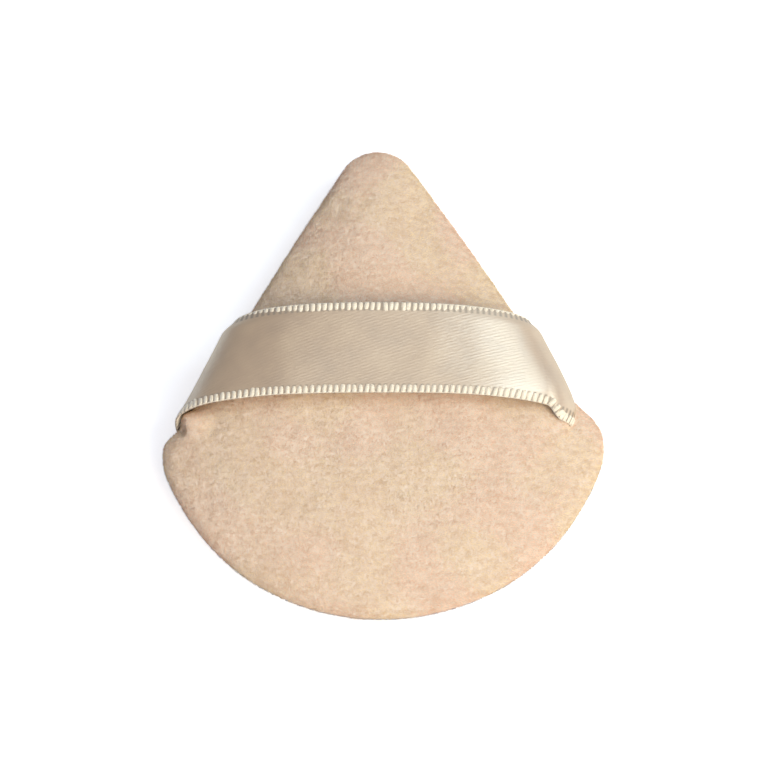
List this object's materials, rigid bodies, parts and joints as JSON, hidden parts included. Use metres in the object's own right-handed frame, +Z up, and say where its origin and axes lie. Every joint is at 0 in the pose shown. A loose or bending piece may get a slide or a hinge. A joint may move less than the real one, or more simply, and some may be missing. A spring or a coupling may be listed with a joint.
{
  "type": "powder puff",
  "caption": "Rounded triangular velour powder puff with a sponge core and a satin ribbon finger strap across its front, sewn into both side seams.",
  "frame": {"origin": "under the middle of the bounding box, on the flat where the back of the puff rests", "axes": "+X across the puff, +Y from the round base to the tip, +Z up out of the front, where the ribbon strap is"},
  "size_m": [0.075, 0.0826, 0.0207],
  "materials": {
    "velour": "short cut pile, matt",
    "sponge": "open-cell sponge, matt",
    "satin_ribbon": "satin weave, soft sheen",
    "thread": "spun polyester"
  },
  "bodies": {
    "puff": {"front_velour_panel": "velour", "back_velour_panel": "velour", "sponge_core": "sponge", "ribbon_tail_left": "satin_ribbon", "ribbon_tail_right": "satin_ribbon", "seam_needle_thread": "thread", "seam_bobbin_thread": "thread", "closing_thread": "thread"},
    "strap": {"ribbon_strap": "satin_ribbon"}
  },
  "joints": [
    {"name": "strap_lean", "type": "hinge", "parent": "puff", "child": "strap", "pos_m": [0, -0.0005, 0.0075], "axis": [1, 0, 0], "range_deg": [-11, 11], "stiffness_Nm_per_rad": 0.0003}
  ]
}
